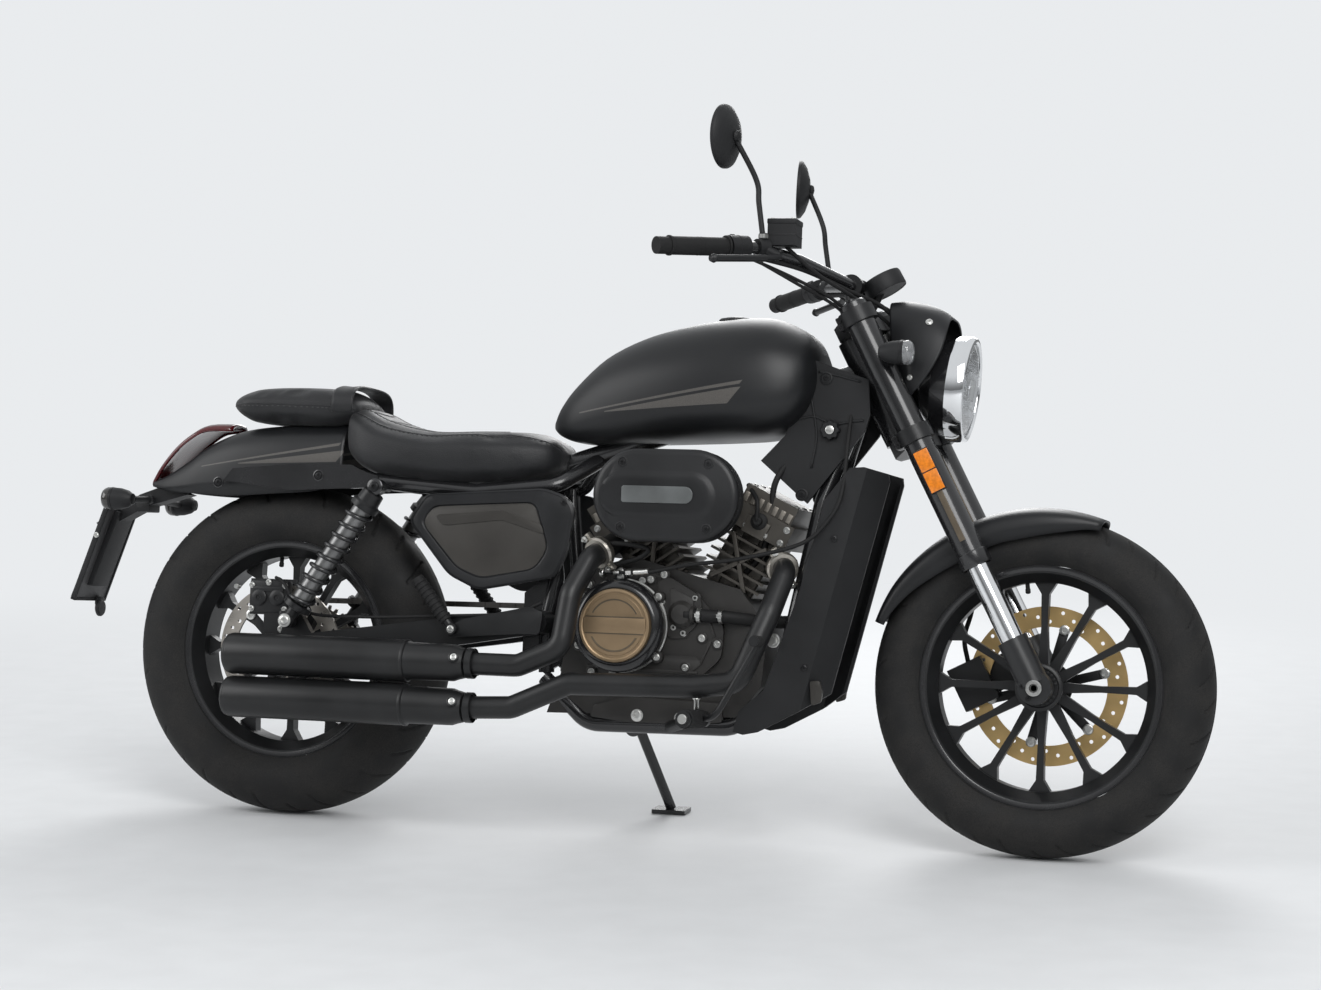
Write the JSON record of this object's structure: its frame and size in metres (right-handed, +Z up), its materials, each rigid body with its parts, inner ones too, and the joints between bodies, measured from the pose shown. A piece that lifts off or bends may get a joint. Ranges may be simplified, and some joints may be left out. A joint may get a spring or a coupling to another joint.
{
  "type": "cruiser motorcycle",
  "caption": "Cruiser motorcycle with V-twin engine, twin stacked silencers, round headlamp and side stand, leaning as parked.",
  "frame": {"origin": "centre of the footprint's bounding box, on the floor", "axes": "+X forward, +Y to the rider's left, +Z up; the bike leans to +Y on its side stand"},
  "size_m": [2.265, 0.9114, 1.3652],
  "materials": {
    "alloy": "machined aluminium",
    "black_cast": "satin black powder coat on castings",
    "black_plastic": "grained black plastic",
    "bright_steel": "polished steel",
    "bronze_cover": "bronze clutch cover",
    "chain_steel": "oiled steel chain",
    "clear_lens": "clear headlamp lens",
    "disc_steel": "ground brake disc",
    "engine_paint": "warm dark grey engine paint",
    "exhaust_black": "heat resistant matte black",
    "frame_paint": "gloss black frame paint",
    "gold_steel": "gold anodised disc",
    "grey_paint": "dark grey body paint",
    "leather": "black grained seat cover",
    "matte_paint": "matte black body paint",
    "red_lens": "dark red lamp lens",
    "rubber": "black rubber",
    "tyre_rubber": "black road tyre rubber"
  },
  "bodies": {
    "frame": {"swingarm": "frame_paint", "frame_spine": "frame_paint", "frame_cradles": "frame_paint", "crankcase": "engine_paint", "cylinder_front": "alloy", "cylinder_rear": "alloy", "clutch_cover": "bronze_cover", "generator_cover": "engine_paint", "air_cleaner": "black_plastic", "mufflers": "exhaust_black", "exhaust_headers": "exhaust_black", "radiator": "black_cast", "radiator_shroud": "black_plastic", "fuel_tank": "matte_paint", "fuel_cap": "black_cast", "rider_seat": "leather", "pillion_seat": "leather", "rear_caliper": "black_cast", "drive_chain": "chain_steel", "rear_fender": "matte_paint", "tail_lamp": "red_lens", "tail_rails": "frame_paint", "plate_holder": "black_plastic", "rear_indicators": "black_plastic", "shocks": "frame_paint", "side_covers": "matte_paint", "neck_covers": "black_plastic", "footrests": "black_cast"},
    "fork": {"fork_tubes": "frame_paint", "fork_sliders": "bright_steel", "front_axle": "bright_steel", "triple_clamps": "frame_paint", "handlebar": "frame_paint", "grips": "rubber", "bar_controls": "black_plastic", "mirrors": "black_plastic", "headlight_shell": "black_plastic", "headlight_lens": "clear_lens", "headlight_cowl": "grey_paint", "gauge": "black_plastic", "front_indicators": "black_plastic", "front_fender": "matte_paint", "front_caliper": "black_cast"},
    "front_wheel": {"front_tyre": "tyre_rubber", "front_wheel": "black_cast", "front_disc": "gold_steel"},
    "rear_wheel": {"rear_tyre": "tyre_rubber", "rear_wheel": "black_cast", "rear_disc": "disc_steel", "rear_sprocket": "disc_steel"},
    "stand": {"side_stand": "frame_paint"}
  },
  "joints": [
    {"name": "steering", "type": "hinge", "parent": "frame", "child": "fork", "pos_m": [0.55692, -0.03587, 0.72878], "axis": [-0.4617, 0.0953, 0.8819], "range_deg": [-32, 32]},
    {"name": "front_wheel_spin", "type": "hinge", "parent": "fork", "child": "front_wheel", "pos_m": [0.8205, -0.08098, 0.3115], "axis": [0, 0.9942, -0.1075], "continuous": true},
    {"name": "rear_wheel_spin", "type": "hinge", "parent": "frame", "child": "rear_wheel", "pos_m": [-0.6645, -0.0798, 0.32244], "axis": [0, 0.9942, -0.1075], "continuous": true},
    {"name": "side_stand_fold", "type": "hinge", "parent": "frame", "child": "stand", "pos_m": [0.0075, 0.05203, 0.18346], "axis": [-0.1135, 0.9934, -0.0171], "range_deg": [0, 112.61]}
  ]
}
